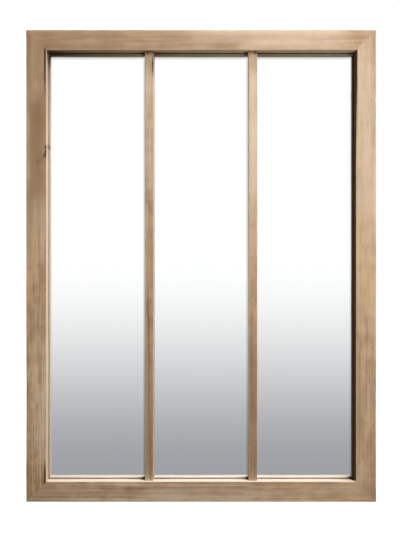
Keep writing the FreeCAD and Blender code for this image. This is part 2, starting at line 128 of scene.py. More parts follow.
class FrameColours(bpy.types.PropertyGroup):
    """Colours of the finishes."""

    early_wood: bpy.props.FloatVectorProperty(
        name="Early wood", description="Pale wood between the rings", subtype="COLOR", default=(0.610, 0.420, 0.255))
    tan_wood: bpy.props.FloatVectorProperty(
        name="Tan wood", description="Duller bands of pale wood", subtype="COLOR", default=(0.595, 0.445, 0.308))
    late_wood: bpy.props.FloatVectorProperty(
        name="Late wood", description="Darker wood of the rings", subtype="COLOR", default=(0.270, 0.160, 0.083))
    weathered: bpy.props.FloatVectorProperty(
        name="Weathered", description="Greyed patches", subtype="COLOR", default=(0.41, 0.325, 0.228))
    worn: bpy.props.FloatVectorProperty(
        name="Worn", description="Bare wood on worn edges", subtype="COLOR", default=(0.60, 0.45, 0.31))
    # Faded and inner wall also paint light onto the bars' dim left sides.
    faded: bpy.props.FloatVectorProperty(
        name="Faded", description="Pale, bleached boards", subtype="COLOR", default=(0.805, 0.632, 0.468))
    inner_wall: bpy.props.FloatVectorProperty(
        name="Inner wall", description="Unstained wood inside the opening", subtype="COLOR",
        default=(0.80, 0.71, 0.58))
    # Also the colour of the painted shadows and painted wall shade on the wood.
    knot_and_shade: bpy.props.FloatVectorProperty(
        name="Knot", description="Dark knots and cracks", subtype="COLOR", default=(0.048, 0.024, 0.010))
    silver: bpy.props.FloatVectorProperty(
        name="Silver", description="Mirror coating", subtype="COLOR", default=(0.95, 0.955, 0.955))
    hardboard: bpy.props.FloatVectorProperty(
        name="Hardboard", description="Back panel", subtype="COLOR", default=(0.19, 0.105, 0.052))
    zinc: bpy.props.FloatVectorProperty(
        name="Zinc", description="Plated steel", subtype="COLOR", default=(0.62, 0.63, 0.66))
    rubber: bpy.props.FloatVectorProperty(
        name="Rubber", description="Bumpers, blocks and tape", subtype="COLOR", default=(0.018, 0.018, 0.018))
    cushion: bpy.props.FloatVectorProperty(
        name="Cushion", description="Foam of the cushion sheet", subtype="COLOR", default=(0.62, 0.62, 0.62))
    cushion_cells: bpy.props.FloatVectorProperty(
        name="Cushion cells", description="Paler cells of that foam", subtype="COLOR", default=(0.78, 0.78, 0.77))
    beech: bpy.props.FloatVectorProperty(
        name="Beech", description="Biscuits in the mitres", subtype="COLOR", default=(0.52, 0.34, 0.19))


class Signal:
    """A shader socket in an expression: every operation adds one Math node to its tree."""

    def __init__(self, finish, socket):
        self.finish, self.socket = finish, socket

    def _math(self, operation, *values):
        return self.finish.node("ShaderNodeMath", {"operation": operation}, dict(enumerate(values)))

    def __add__(self, other): return self._math("ADD", self, other)

    def __sub__(self, other): return self._math("SUBTRACT", self, other)

    def __mul__(self, other): return self._math("MULTIPLY", self, other)

    def __truediv__(self, other): return self._math("DIVIDE", self, other)

    def __radd__(self, other): return self._math("ADD", other, self)

    def __rsub__(self, other): return self._math("SUBTRACT", other, self)

    def __rmul__(self, other): return self._math("MULTIPLY", other, self)

    def __rtruediv__(self, other): return self._math("DIVIDE", other, self)

    def sawtooth(self): return self._math("FRACT", self)

    def root(self): return self._math("SQRT", self)

    def size(self): return self._math("ABSOLUTE", self)

    def at_least(self, other): return self._math("MAXIMUM", self, other)

    def smooth(self, low, high):
        """0 below low, 1 above high, and a smooth step between them."""
        sockets = {"Value": self, "From Min": low, "From Max": high}
        return self.finish.node("ShaderNodeMapRange", {"interpolation_type": "SMOOTHSTEP"}, sockets)


class Finish:
    """The node tree of one finish."""

    def __init__(self, owner):
        owner.use_nodes = True
        self.owner, self.tree = owner, owner.node_tree
        self.tree.nodes.clear()

    def node(self, kind, settings=None, sockets=None, output=0):
        """Adds a node of that type, applies its settings, then fills its sockets with values or links."""
        made = self.tree.nodes.new(kind)
        for name, value in (settings or {}).items():
            setattr(made, name, value)
        for name, value in (sockets or {}).items():
            socket = made.inputs[name]
            if isinstance(value, Signal):
                self.tree.links.new(value.socket, socket)
            else:
                socket.default_value = value
        return Signal(self, made.outputs[output]) if made.outputs else None

    def attribute(self, name, output="Fac"):
        return self.node("ShaderNodeAttribute", {"attribute_name": name}, output=output)

    def place(self):
        """The point's place in the shared frame."""
        return self.node("ShaderNodeTexCoord", output="Object")

    def parts(self, vector):
        split = self.node("ShaderNodeSeparateXYZ", sockets={"Vector": vector}).socket.node
        return [Signal(self, output) for output in split.outputs]

    def stretched(self, vector, *scale):
        return self.node("ShaderNodeVectorMath", {"operation": "MULTIPLY"}, {0: vector, 1: scale})

    def noise(self, vector, detail=2.0, roughness=0.5, distortion=0.0):
        sockets = {"Vector": vector, "Scale": 1.0, "Detail": detail, "Roughness": roughness, "Distortion": distortion}
        return self.node("ShaderNodeTexNoise", sockets=sockets)

    def mix(self, share, first, second):
        """The first colour where the share is 0, the second where it is 1."""
        first, second = ((*c, 1.0) if not isinstance(c, Signal) else c for c in (first, second))
        settings = {"data_type": "RGBA", "clamp_factor": True}
        return self.node("ShaderNodeMix", settings, {0: share, 6: first, 7: second}, output=2)

    def surface(self, sockets, height=None, relief=0.0):
        """A Principled surface with an optional bump, as the material's output."""
        if height is not None:
            bump = {"Height": height, "Distance": relief, "Strength": 1.0}
            sockets = {**sockets, "Normal": self.node("ShaderNodeBump", sockets=bump)}
        shader = self.node("ShaderNodeBsdfPrincipled", sockets=sockets)
        self.node("ShaderNodeOutputMaterial", sockets={"Surface": shader})
        return self.owner


def new_finish(name):
    return Finish(bpy.data.materials.new(name))


def pine(name, colours, sizes):
    """Weathered pine. Growth rings are rounds about a pith outside the board, bent and unevenly spaced by slow noise;
    fibres are noise drawn out along the board. Attributes of the mesh: board is the place along, across and into the
    board; state holds wear, the dark marks of knots and seams together with painted shadows and painted shade, and
    the distance from a joint; look holds tone, which carries painted shade and light on the inner walls and the bars'
    left sides, strength of figure and greyness; pale is the share of unstained wood, partly painted light on the bars'
    left sides."""
    f = new_finish(name)
    board = f.attribute("board", "Vector")
    along, across, inward = f.parts(board)
    wear, knot_and_shade, joint = f.parts(f.attribute("state", "Vector"))
    shade, figure, grey = f.parts(f.attribute("look", "Vector"))
    bend = f.noise(f.stretched(board, 3.4, 15, 15), 2.0) - 0.5
    sway = f.noise(f.stretched(board, 1.2, 6, 6), 1.0) - 0.5
    uneven = f.noise(f.stretched(board, 1.0, 75, 75), 1.0) - 0.5
    off_pith = across + bend * (15 * MM) + sway * (40 * MM) + uneven * (9 * MM) + knot_and_shade * (6 * MM)
    radius = (off_pith * off_pith + inward * inward).root()
    ring = (radius * (1 / sizes.ring_spacing)).sawtooth()
    bold = f.noise(f.stretched(board, 1.6, 50, 50), 1.0).smooth(0.38, 0.66)
    late = ring.smooth(0.15, 0.8) * (1 - ring.smooth(0.82, 1.0)) * bold
    fibre = f.noise(f.stretched(board, 9, 560, 560), 3.0, 0.6) - 0.5
    streak = f.noise(f.stretched(board, 2.6, 110, 110), 3.0, 0.6) - 0.5
    thread = f.noise(f.stretched(board, 7, 300, 300), 1.0).smooth(0.58, 0.72)
    broad = f.noise(f.stretched(board, 3.2, 14, 14), 2.0, 0.5) - 0.5
    mottle = f.noise(f.stretched(board, 24, 62, 62), 3.0, 0.55) - 0.5
    curl = f.noise(f.stretched(board, 34, 9, 9), 2.0, 0.5) - 0.5
    band = f.noise(f.stretched(board, 1.7, 40, 40), 2.0, 0.5)
    stain = f.noise(f.stretched(board, 5.0, 24, 24), 3.0, 0.6)
    pore = f.noise(f.stretched(board, 55, 1500, 1500), 1.0).smooth(0.66, 0.78)
    lines = (late * 0.9 + thread * 0.45 - 0.25) * figure
    uneven_tone = fibre * 0.5 + streak * (0.9 + figure * 0.6) + broad * 1.4 + mottle * 1.4 + curl * 0.8
    dark = 0.42 + lines + uneven_tone * (0.45 + figure * 0.6)
    tone = f.mix(band.smooth(0.36, 0.64), colours.early_wood, colours.tan_wood)
    tone = f.mix(dark * 0.85, tone, colours.late_wood)
    tone = f.mix(stain.smooth(0.40, 0.68) * grey, tone, colours.weathered)
    # Positive tones fade the board and negative ones darken it to late wood; on the inner walls and the bars' left
    # sides they carry painted shade and painted light.
    tone = f.mix(shade.at_least(0), tone, colours.faded)
    tone = f.mix((0 - shade).at_least(0), tone, colours.late_wood)
    tone = f.mix(f.attribute("pale") * (0.9 + streak * 0.6), tone, colours.inner_wall)
    tone = f.mix(pore * 0.3, tone, colours.late_wood)
    tone = f.mix(wear * (0.6 + fibre * 0.7), tone, colours.worn)
    tone = f.mix((1 - joint.smooth(0.8 * MM, 4 * MM)) * (mottle + 0.45) * 0.28, tone, colours.worn)
    tone = f.mix((1 - joint.smooth(0, 0.6 * MM)) * 0.16, tone, colours.knot_and_shade)
    # This channel also carries painted shadows and painted wall shade, darkened to the knot colour here.
    tone = f.mix(knot_and_shade.smooth(0.2, 0.95), tone, colours.knot_and_shade)
    rough = 0.69 + fibre * 0.22 + late * 0.05 + knot_and_shade * 0.3
    height = late * 0.35 + fibre * 0.6 - pore * 0.5 - knot_and_shade * 0.8
    return f.surface({"Base Color": tone, "Roughness": rough, "Specular IOR Level": 0.28}, height, 0.25 * MM)


def silvering(name, colours):
    """A silvered sheet, with a faint bloom of wiped dust, and painted shade: grey in soft bands left of each bar,
    along the right side and along the top."""
    f = new_finish(name)
    place = f.place()
    x, _, z = f.parts(place)
    smear = f.noise(f.stretched(place, 9, 9, 3), 3.0, 0.6)
    beside = [middle - BAR_HALF - x for middle in (-BAR_MIDDLE, BAR_MIDDLE)]
    bar_weights = 2.2, 1.3
    left_bar, right_bar = (gap.smooth(-0.5 * MM, 0.5 * MM) * (1 - gap.smooth(2 * MM, 8 * MM)) * weight
                           for gap, weight in zip(beside, bar_weights))
    from_side, from_top = OPENING[0] - x, OPENING[1] - z
    side = (1 - from_side.smooth(6 * MM, 12 * MM)) * from_side.smooth(2 * MM, 6 * MM)
    top = (1 - from_top.smooth(8 * MM, 18 * MM)) * from_top.smooth(2 * MM, 8 * MM) * 2.0
    # Painted shade: grey bands left of the bars, along the right side and along the top darken the silver.
    painted_shade_bands = left_bar.at_least(right_bar).at_least(side.at_least(top))
    tone = f.mix(smear.smooth(0.45, 0.75) * 0.006 + painted_shade_bands * 0.24, colours.silver, (0, 0, 0))
    return f.surface({"Base Color": tone, "Metallic": 1.0, "Roughness": smear.smooth(0.5, 0.8) * 0.012})


def foam(name, base, pale):
    """Closed-cell foam: small cells over a slow drift in tone."""
    f = new_finish(name)
    cell = f.node("ShaderNodeTexVoronoi", sockets={"Vector": f.place(), "Scale": 1400.0})
    drift = f.noise(f.stretched(f.place(), 60, 60, 60), 2.0)
    tone = f.mix(drift * 0.6 + cell * 0.4, base, pale)
    return f.surface({"Base Color": tone, "Roughness": 0.85 + drift * 0.1}, cell, 0.1 * MM)


def rubber(name, base):
    """Moulded rubber with a fine grain and grey dust."""
    f = new_finish(name)
    grain = f.noise(f.stretched(f.place(), 1600, 1600, 1600), 2.0)
    dust = f.noise(f.stretched(f.place(), 220, 220, 220), 3.0)
    tone = f.mix(dust.smooth(0.45, 0.8) * 0.5, base, tuple(c * 3.2 for c in base))
    return f.surface({"Base Color": tone, "Roughness": 0.6 + dust * 0.25}, grain, 0.06 * MM)


def hardboard(name, base):
    """Pressed fibre board: matted fibres, darker specks, clouds of tone and faint marks where the press wiped."""
    f = new_finish(name)
    place = f.place()
    fibre = f.noise(f.stretched(place, 420, 420, 420), 4.0, 0.7, 0.8)
    flake = f.noise(f.stretched(place, 95, 95, 95), 3.0, 0.65, 1.5)
    speck = f.noise(f.stretched(place, 900, 900, 900), 2.0).smooth(0.62, 0.74)
    cloud = f.noise(f.stretched(place, 6.5, 6.5, 4.0), 4.0, 0.55)
    wiped = f.noise(f.stretched(place, 46, 46, 1.6), 2.0)
    pale, deep = tuple(c * 1.7 for c in base), tuple(c * 0.5 for c in base)
    tone = f.mix(fibre * 0.5 + flake * 0.8 + cloud * 1.1 + wiped * 0.6 - 1.15, base, pale)
    tone = f.mix(flake.smooth(0.58, 0.75) * 0.35 + speck * 0.5, tone, deep)
    return f.surface({"Base Color": tone, "Roughness": 0.5 + fibre * 0.3 + cloud * 0.1}, fibre + flake, 0.12 * MM)


def zinc(name, base):
    """Zinc plate: bright metal with a faint spangle, fine scratches and duller patches."""
    f = new_finish(name)
    place = f.place()
    spangle = f.node("ShaderNodeTexVoronoi", sockets={"Vector": place, "Scale": 520.0})
    scratch = f.noise(f.stretched(place, 2600, 2600, 90), 2.0)
    dull = f.noise(f.stretched(place, 160, 160, 160), 3.0)
    tone = f.mix(dull.smooth(0.35, 0.75), base, tuple(c * 0.72 for c in base))
    rough = 0.26 + dull * 0.22 + scratch * 0.12 + spangle * 0.08
    return f.surface({"Base Color": tone, "Metallic": 1.0, "Roughness": rough}, scratch, 0.03 * MM)


def beech(name, base):
    """Pressed beech: short flecks along the biscuit."""
    f = new_finish(name)
    fleck = f.noise(f.stretched(f.place(), 300, 900, 300), 3.0)
    tone = f.mix(fleck.smooth(0.35, 0.7), base, tuple(c * 0.7 for c in base))
    return f.surface({"Base Color": tone, "Roughness": 0.7 + fleck * 0.2}, fleck, 0.1 * MM)


def waves(seed, count, lowest, highest, *places):
    """Smooth noise between about -1 and 1: a sum of sines with random directions and phases."""
    rng = np.random.default_rng(seed)
    rates = np.exp(rng.uniform(np.log(lowest), np.log(highest), (count, len(places))))
    rates *= rng.choice((-1, 1), rates.shape)
    phases = rng.uniform(0, 2 * np.pi, count)
    total = sum(np.sin(phase + sum(rate * place for rate, place in zip(row, places)))
                for row, phase in zip(rates, phases))
    return total / np.sqrt(2 * count)


def hump(distance, width):
    """A bell curve."""
    return np.exp(-(distance / width) ** 2)


def drift(values, share):
    """A smooth run through the values at the low end, the middle and the high end of a member."""
    low, middle, high = values
    return middle + share * (high - low) / 2 + share ** 2 * ((low + high) / 2 - middle)


def along_edges(corners, rounding, pitch):
    """A closed outline through the corners, each rounded by its own radius. Each arc is a circle tangent to both
    sides, and straight runs are divided at the pitch. Returns points, outward normals and arris weights."""
    points, normals, arrises = [], [], []
    count = len(corners)
    ends = []
    for index in range(count):
        before, here, after = (np.array(corners[(index + k) % count], float) for k in (-1, 0, 1))
        into, out = (here - before) / np.linalg.norm(here - before), (after - here) / np.linalg.norm(after - here)
        ends.append((here - into * rounding[index], here + out * rounding[index], into, out, here))
    for index in range(count):
        start, finish, into, out, here = ends[index]
        turn_in, turn_out = (np.array((d[1], -d[0])) for d in (into, out))
        if rounding[index] > 0:
            share = np.linspace(0, 1, ARC_POINTS)[:, None]
            blend = turn_in * np.cos(share * np.pi / 2) + turn_out * np.sin(share * np.pi / 2)
            centre = start - turn_in * rounding[index]
            points.append(centre + blend * rounding[index])
            normals.append(blend)
            arrises.append(np.ones(ARC_POINTS))
        else:
            points.append(here[None])
            normals.append(((turn_in + turn_out) / 2)[None])
            arrises.append(np.zeros(1))
        following = ends[(index + 1) % count][0]
        steps = max(int(np.ceil(np.linalg.norm(following - finish) / pitch)), 1)
        share = np.arange(1, steps)[:, None] / steps
        points.append(finish + (following - finish) * share)
        normals.append(np.repeat(turn_out[None], steps - 1, 0))
        arrises.append(np.zeros(steps - 1))
    return np.concatenate(points), np.concatenate(normals), np.concatenate(arrises)


def tube_faces(stations, around, copies=1):
    """Quads between neighbouring closed rings of points, and one flat face on each end, for each copy of the tube."""
    ring = np.arange(around)
    row = np.arange(stations - 1)[:, None] * around
    near, far = row + ring, row + (ring + 1) % around
    quads = np.stack((near, far, far + around, near + around), -1).reshape(-1, 4)
    ends = np.stack((ring[::-1], ring + (stations - 1) * around))
    first = np.arange(copies)[:, None, None] * stations * around
    return (quads + first).reshape(-1, 4).tolist() + (ends + first).reshape(-1, around).tolist()


def make_piece(name, points, faces, finish, fields=None, sharp=35.0):
    """A mesh object at the origin that rides on the frame's body."""
    mesh = bpy.data.meshes.new(name)
    mesh.from_pydata(points.reshape(-1, 3), [], faces)
    for field, values in (fields or {}).items():
        vector = values.ndim > 1 and values.shape[-1] == 3
        made = mesh.attributes.new(field, "FLOAT_VECTOR" if vector else "FLOAT", "POINT")
        made.data.foreach_set("vector" if vector else "value", values.astype(np.float32).ravel())
    mesh.polygons.foreach_set("use_smooth", np.ones(len(mesh.polygons), bool))
    mesh.set_sharp_from_angle(angle=math.radians(sharp))
    mesh.materials.append(finish)
    mesh.update()
    piece = bpy.data.objects.new(name, mesh)
    bpy.context.scene.collection.objects.link(piece)
    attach(piece, BODY)
    return piece


def dress(names, finish):
    """Gives CAD nodes a finish."""
    for name in names:
        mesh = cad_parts[name].data
        mesh.materials.clear()
        mesh.materials.append(finish)


def board_field(seed, along, across, inward):
    """Places in the board's own grain: along, across from a pith beside the board, and into it."""
    rng = np.random.default_rng(seed)
    shift = rng.uniform((-4, -0.03, 0.03), (4, 0.03, 0.07))
    return np.stack((along + shift[0], across + shift[1], inward + shift[2]), -1)


def wood_piece(name, profile, stations, place, seed, sizes, finish, marks):
    """A member: its profile carried along its length. A point moves inwards along the profile's normal by the wear
    on the arrises, by slow unevenness of the planed faces, and by a bell-shaped dent at each nick and at each strong
    mark of the knot list, which holds knots, seams and painted shadows. A streak is a bell curve across the board that
    fades in and out along it, ragged where it is narrow. The inner wall has its own tone, share of unstained wood and
    painted wall shade, and its tone is partly painted shade as well; a bar's left side, its far one, has a tone and
    share of its own, which paint light onto that dim side."""
    points, normals, arris = profile
    stations = np.asarray(stations)[:, None]
    across, depth = points[:, 0] + 0 * stations, points[:, 1] + 0 * stations
    rest, along, joint = place(stations, across, depth)
    x, y, z = np.moveaxis(rest, -1, 0)
    worn = arris * (0.55 + 0.45 * waves(seed, 14, 12, 160, along + 3 * across)).clip(0, 1.5)
    uneven = 0.5 + 0.25 * waves(seed + 1, 10, 4, 60, along, across, depth)
    knot_and_shade = np.zeros_like(x)
    ragged = 0.5 * waves(seed + 2, 12, 150, 900, x, y, z)
    # Marks of the knot list: knots, seams and painted shadows.
    for at, width, weight, stretch in marks.get("knots_seams_and_painted_shadows", ()):
        gap = np.sqrt((x - at[0]) ** 2 + (y - at[1]) ** 2 + ((z - at[2]) / stretch) ** 2)
        knot_and_shade = np.maximum(knot_and_shade, (weight * hump(gap * (1 + ragged / max(stretch, 1)), width)).clip(0, 1))
    drop = sizes.wear * worn + PLANED * uneven.clip(0) + KNOT_DEPTH * np.where(knot_and_shade > 0.5, knot_and_shade, 0)
    for at, width, deep in marks.get("nicks", ()):
        bite = arris * hump(np.sqrt((x - at[0]) ** 2 + (z - at[2]) ** 2), width)
        drop = drop + deep * bite
        worn = np.maximum(worn, 2.0 * bite)
    share = along / np.abs(along).max()
    tone = drift(marks["tones"], share)
    for middle, width, start, end, weight in marks.get("streaks", ()):
        sideways = STREAK_SWAY * waves(seed + 3, 6, 10, 60, along)
        run = (np.tanh((along - start) / STREAK_FADE) - np.tanh((along - end) / STREAK_FADE)) / 2
        breaks = hump(width, STREAK_NARROW) * (0.5 * waves(seed + 4, 10, 30, 300, along + 7 * middle) - 0.2)
        tone = tone + weight * run * (1 + breaks).clip(0, 1.3) * hump(across - middle - sideways, width)
    wall = (normals[:, 0] * np.sign(points[:, 0]) > WALL_LEAN) & (points[:, 1] < LEDGE + MARGIN)
    # Painted shade on the inner walls: their tone and the painted wall shade darken walls turned from the lamp or
    # under a neighbouring member. The far values paint light onto a bar's dim left side.
    kinds = "wall", "pale", "painted_wall_shade", "far_side_painted_light", "far_side_painted_pale"
    wall_tone_and_shade, pale, painted_wall_shade, far_side_painted_tone, far_side_painted_pale = (wall * drift(marks.get(kind, (0, 0, 0)), share) for kind in kinds)
    far = wall & (points[:, 0] < 0)
    tone, pale = np.where(far, far_side_painted_tone, np.where(wall, wall_tone_and_shade, tone)), np.where(far, far_side_painted_pale, pale)
    knot_and_shade = np.maximum(knot_and_shade, painted_wall_shade)
    look = (tone, drift(marks["figure"], share), drift(marks["grey"], share))
    made = place(stations, across - normals[:, 0] * drop, depth - normals[:, 1] * drop)[0]
    in_rebate = (points[:, 1] > LEDGE - 0.25 * MM) & (points[:, 1] < STEP - MARGIN)
    knot_and_shade = np.maximum(knot_and_shade, in_rebate & (points[:, 0] > marks.get("rebate", 1.0)))
    grain = board_field(seed, along, across, depth - FRONT)
    fields = {"board": grain, "state": np.stack((worn, knot_and_shade, joint), -1), "look": np.stack(look, -1), "pale": pale}
    return make_piece(name, made, tube_faces(len(stations), len(points)), finish, fields)


class PieceOperator(bpy.types.Operator):
    """Common parts of the operators: the sizes and colours of the scene."""

    bl_options = {"REGISTER", "UNDO"}

    @property
    def sizes(self):
        return bpy.context.scene.window_mirror_sizes

    @property
    def colours(self):
        return bpy.context.scene.window_mirror_colours


class MIRROR_OT_frame_members(PieceOperator):
    """Two rails and two stiles with mitred ends, a double rebate and worn front edges"""

    bl_idname = "window_mirror.frame_members"
    bl_label = "Rails and stiles"

    # Tones, figure and grey run left to right or bottom to top, and so do the tones, unstained share and painted
    # wall shade of the inner wall. Streaks: place across from the outer edge, width, start, end and weight. Knots,
    # which are also seams and painted shadows beside the bars and in corners: place, width, weight and stretch along
    # the height. Nicks: place, width and depth.
    marks = {
        "top_rail": {
            "tones": (-0.46, 0.35, 0.20), "figure": (0.4, 0.3, 0.3), "grey": (0.2, 0.2, 0.1),
            # The inner wall runs from dark at the left end to pale at the right, with painted wall shade at the left:
            # painted shade and light.
            "wall": (-1.0, 0.4, 1.0), "pale": (0, 0, 0.5), "painted_wall_shade": (0.68, 0.06, 0),
            # Painted shadows of the bars on the inner wall, left of each bar.
            "knots_seams_and_painted_shadows": [
                ((-BAR_MIDDLE - BAR_HALF - 3 * MM, -0.0180, OPENING[1]), 12 * MM, 0.75, 0.3),
                ((BAR_MIDDLE - BAR_HALF - 3 * MM, -0.0180, OPENING[1]), 12 * MM, 0.75, 0.3)],
            "streaks": [
                (12 * MM, 8 * MM, -0.42, -0.34, -0.3), (32 * MM, 8 * MM, -0.42, -0.34, -0.3),
                (44 * MM, 8 * MM, -0.42, 0.10, -0.55), (46 * MM, 6 * MM, 0.12, 0.42, -0.2),
                (4 * MM, 8 * MM, 0.00, 0.36, 0.4), (30 * MM, 7 * MM, 0.13, 0.27, 0.3),
                (20 * MM, 30 * MM, 0.365, 0.46, -0.3), (22 * MM, 26 * MM, -0.27, -0.04, -0.28),
                (20 * MM, 2 * MM, -0.20, 0.02, -0.22), (36 * MM, 2 * MM, -0.08, 0.12, -0.2)]},
        "bottom_rail": {
            "tones": (-0.36, 0.17, -0.30), "figure": (1.1, 1.0, 0.9), "grey": (0.8, 0.7, 0.8),
            "pale": (0.7, 0.9, 0.9),
            # Painted shadows on the inner wall: left of each bar's foot and in the right corner.
            "knots_seams_and_painted_shadows": [
                ((-BAR_MIDDLE - BAR_HALF - 2 * MM, -0.0130, -OPENING[1]), 4 * MM, 1.2, 1.6),
                ((-BAR_MIDDLE - BAR_HALF - 8 * MM, -0.0200, -OPENING[1]), 16 * MM, 0.4, 1.6),
                ((BAR_MIDDLE - BAR_HALF - 2 * MM, -0.0130, -OPENING[1]), 4 * MM, 1.2, 1.6),
                ((OPENING[0] - 2 * MM, -0.0125, -OPENING[1]), 9 * MM, 1.3, 1.0)],
            "streaks": [
                (13 * MM, 2 * MM, -0.43, -0.16, -0.55), (31 * MM, 2 * MM, 0.08, 0.23, -0.6),
                (26 * MM, 2 * MM, 0.12, 0.27, -0.5), (37 * MM, 2 * MM, -0.02, 0.16, -0.4),
                (21 * MM, 2 * MM, 0.20, 0.34, -0.45), (8 * MM, 2 * MM, 0.00, 0.30, -0.35),
                (41 * MM, 6 * MM, -0.38, -0.25, -0.35), (24 * MM, 2 * MM, -0.30, -0.05, -0.35),
                (6 * MM, 5 * MM, -0.44, -0.30, 0.2), (0.5 * MM, 2 * MM, -0.46, 0.46, -0.5),
                (50 * MM, 3 * MM, -0.40, 0.35, -0.6), (22 * MM, 10 * MM, -0.37, -0.14, -0.5),
                (22 * MM, 9 * MM, -0.02, 0.10, -0.4), (16 * MM, 6 * MM, 0.13, 0.25, -0.4),
                (40 * MM, 8 * MM, 0.13, 0.35, -0.3), (30 * MM, 25 * MM, 0.36, 0.41, 0.25),
                (26 * MM, 30 * MM, 0.41, 0.46, -0.3), (26 * MM, 30 * MM, -0.46, -0.37, -0.3)]},
        "left_stile": {
            "tones": (0.22, -0.06, -0.64), "figure": (1.8, 0.8, 0.45), "grey": (0.8, 0.3, 0.2),
            # The wall tone and painted wall shade darken the inner wall towards the top, under the top rail: painted
            # shade.
            "wall": (0.1, 0.7, -0.4), "pale": (0.25, 0.35, 0.6), "painted_wall_shade": (0, 0, 0.6),
            "knots_seams_and_painted_shadows": [
                ((-0.3950, -0.033, 0.302), 4 * MM, 1.0, 1.6), ((-0.3945, -0.033, 0.290), 4 * MM, 1.0, 1.6),
                ((-0.3965, -0.034, 0.281), 4 * MM, 1.0, 1.6), ((-0.3930, -0.018, 0.306), 6 * MM, 0.8, 1.6),
                ((-0.4020, -0.034, 0.275), 9 * MM, 0.48, 1.6), ((-0.4130, -0.034, 0.267), 14 * MM, 0.42, 1.6),
                ((-0.3974, -0.034, 0.530), 2.0 * MM, 1.4, 50.0), ((-0.3974, -0.034, -0.540), 2.0 * MM, 1.3, 26.0)],
            "streaks": [
                (3 * MM, 6 * MM, -0.32, -0.08, -0.5), (4 * MM, 9 * MM, -0.62, -0.30, -0.8),
                (43 * MM, 9 * MM, -0.47, -0.30, 0.2), (43 * MM, 8 * MM, -0.20, 0.02, -0.6),
                (14 * MM, 2 * MM, -0.60, -0.12, -0.6), (20 * MM, 2 * MM, -0.52, -0.02, -0.5),
                (26 * MM, 2 * MM, -0.60, -0.30, -0.7), (33 * MM, 2 * MM, -0.45, 0.05, -0.2),
                (24 * MM, 6 * MM, -0.19, -0.02, -0.4), (12 * MM, 7 * MM, -0.20, 0.00, -0.45),
                (26 * MM, 30 * MM, 0.18, 0.42, -0.55), (8 * MM, 14 * MM, 0.00, 0.20, -0.35),
                (26 * MM, 30 * MM, -0.62, -0.50, -0.5), (4 * MM, 7 * MM, 0.45, 0.62, -0.3),
                (50 * MM, 2.5 * MM, -0.53, -0.33, -0.6), (5 * MM, 4 * MM, 0.20, 0.40, 0.35)]},
        "right_stile": {
            "tones": (-0.24, 0.13, 0.33), "figure": (0.6, 0.8, 0.6), "grey": (0.8, 0.3, 0.1),
            # The inner wall, turned from the lamp, is darkened all along by its tone and painted wall shade: painted
            # shade.
            "wall": (-1, -1, -1), "painted_wall_shade": (0.90, 0.84, 0.90),
            # A dark line along the face's inner edge near the top, painted shade that widens the dark wall.
            "knots_seams_and_painted_shadows": [((0.3948, -0.034, 0.600), 2.4 * MM, 1.3, 125.0)],
            "streaks": [
                (9 * MM, 2 * MM, -0.50, -0.15, -0.45), (15 * MM, 2 * MM, -0.55, -0.20, -0.35),
                (40 * MM, 2 * MM, -0.25, 0.12, -0.3), (5 * MM, 8 * MM, 0.10, 0.30, 0.35),
                (44 * MM, 9 * MM, -0.42, -0.18, -0.4), (40 * MM, 14 * MM, -0.62, -0.49, 0.4),
                (10 * MM, 16 * MM, 0.53, 0.62, -0.35), (24 * MM, 2 * MM, -0.40, -0.08, -0.3),
                (26 * MM, 14 * MM, 0.14, 0.30, 0.2), (22 * MM, 10 * MM, 0.38, 0.46, -0.15),
                (0.5 * MM, 2 * MM, -0.62, -0.20, -0.35), (20 * MM, 30 * MM, -0.62, -0.555, -0.35)],
            "nicks": [((0.445, 0, 0.425), 4 * MM, 1.2 * MM), ((0.445, 0, 0.142), 6 * MM, 1.0 * MM)]},
    }

    def execute(self, context):
        sizes = self.sizes
        wood = pine("weathered_pine", self.colours, sizes)
        wall, step = FACE - sizes.ledge, FACE - sizes.ledge - sizes.step
        back = BACK - BACK_EASE
        corners = [(0, back), (0, FRONT), (FACE, FRONT), (FACE, LEDGE), (wall, LEDGE), (wall, STEP), (step, STEP),
                   (step, back)]
        rounding = [BACK_EDGE, sizes.arris, sizes.arris, LEDGE_EDGE, 0, 0, 0, STEP_EDGE]
        profile = along_edges(corners, rounding, MEMBER_PITCH)
        # Quarter turns from the top rail, and the way the along direction runs: left to right or bottom to top.
        turns = {"top_rail": (WIDTH, HEIGHT, 0, 1), "bottom_rail": (WIDTH, HEIGHT, 2, -1),
                 "right_stile": (HEIGHT, WIDTH, 1, -1), "left_stile": (HEIGHT, WIDTH, 3, 1)}
        for number, (name, (length, reach, quarter, way)) in enumerate(turns.items()):
            inner = np.linspace(0, 1 - MITRE_ROOM / length, int(length / STATION_PITCH))
            near_mitre = 1 - MITRE_STEPS / length
            half = np.concatenate((inner, near_mitre))
            stations = np.concatenate((-half[:0:-1], half))

            def place(stations, across, depth, length=length, reach=reach, quarter=quarter, way=way):
                run, out = stations * (length / 2 - across), reach / 2 - across
                c, s = ((1, 0), (0, 1), (-1, 0), (0, -1))[quarter]
                from_mitre = (1 - np.abs(stations)) * (length / 2 - across)
                made = np.stack((c * run + s * out, depth, -s * run + c * out), -1)
                return made, way * run, from_mitre

            marks = {**self.marks[name], "rebate": wall - MARGIN}
            piece = wood_piece(name + "_wood", profile, stations, place, SEED + 10 * number, sizes, wood, marks)
            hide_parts(name)
        return {"FINISHED"}


